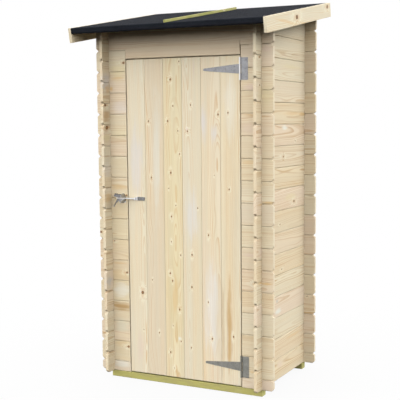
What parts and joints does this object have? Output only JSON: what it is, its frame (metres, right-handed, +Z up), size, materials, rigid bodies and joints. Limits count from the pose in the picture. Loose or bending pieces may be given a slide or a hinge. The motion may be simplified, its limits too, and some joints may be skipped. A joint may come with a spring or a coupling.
{
  "type": "garden shed",
  "caption": "Small wooden garden shed of interlocking log boards with a felted lean-to roof and an outward opening boarded door on T hinges with a gate latch.",
  "frame": {"origin": "middle of the whole object's box on the ground plane, under the bearers", "axes": "+X along the front towards the hinged side of the door, +Y from the door to the back wall, +Z up"},
  "size_m": [1.12, 0.8818, 2.0411],
  "materials": {
    "pine": "planed, untreated",
    "treated": "planed, pressure treated, green tint",
    "felt": "bitumen roofing felt with fine mineral grit",
    "galvanised": "zinc plated, dull"
  },
  "bodies": {
    "frame": {"bearer_front": "treated", "bearer_back": "treated", "floor_boards": "pine", "wall_left": "pine", "wall_right": "pine", "wall_back": "pine", "wall_front_left": "pine", "wall_front_right": "pine", "wall_front_header": "pine", "door_post_left": "pine", "door_post_right": "pine", "door_head": "pine", "roof_deck": "pine", "eaves_batten_front": "pine", "eaves_batten_back": "pine", "roof_felt": "felt", "felt_batten": "treated", "barge_board_left": "pine", "barge_board_right": "pine", "hinge_leaf_upper": "galvanised", "hinge_pin_upper": "galvanised", "hinge_leaf_lower": "galvanised", "hinge_pin_lower": "galvanised", "latch_housing": "galvanised", "latch_pawl": "galvanised", "latch_rivet": "galvanised"},
    "door": {"door_boards": "pine", "door_ledge_top": "pine", "door_ledge_middle": "pine", "door_ledge_bottom": "pine", "door_brace_upper": "pine", "door_brace_lower": "pine", "hinge_strap_upper": "galvanised", "hinge_strap_lower": "galvanised", "latch_striker": "galvanised"}
  },
  "joints": [
    {"name": "door_hinge", "type": "hinge", "parent": "frame", "child": "door", "pos_m": [0.33775, -0.25995, 0], "axis": [0, 0, 1], "range_deg": [0, 140]}
  ]
}
